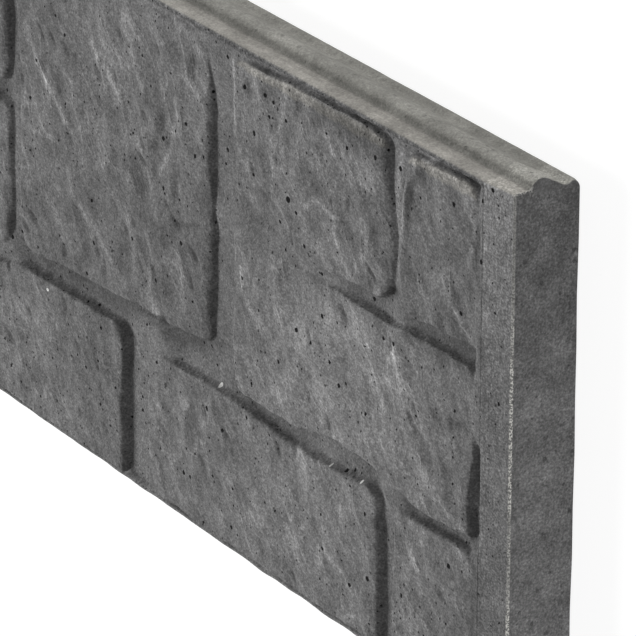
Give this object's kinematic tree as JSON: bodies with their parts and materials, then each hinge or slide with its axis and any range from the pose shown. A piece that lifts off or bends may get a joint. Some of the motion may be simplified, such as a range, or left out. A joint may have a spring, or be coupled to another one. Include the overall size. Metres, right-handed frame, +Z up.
{
  "type": "concrete gravel board",
  "caption": "Dark grey concrete gravel board with a rock-face front, plain end strips that slide into slotted posts, a rounded tongue along its upper edge and a groove along its lower edge.",
  "frame": {"origin": "middle of the board's footprint, on the plane of its back, which lies on the floor", "axes": "+X along the length towards the end nearest the camera, +Y across the board towards the tongue, +Z up and out of the rock face"},
  "size_m": [1.84, 0.36, 0.053],
  "materials": {
    "concrete": "matt wet-cast concrete, dark grey, with fine streaks and air pores"
  },
  "bodies": {
    "root": {"gravel_board": "concrete"}
  },
  "joints": []
}
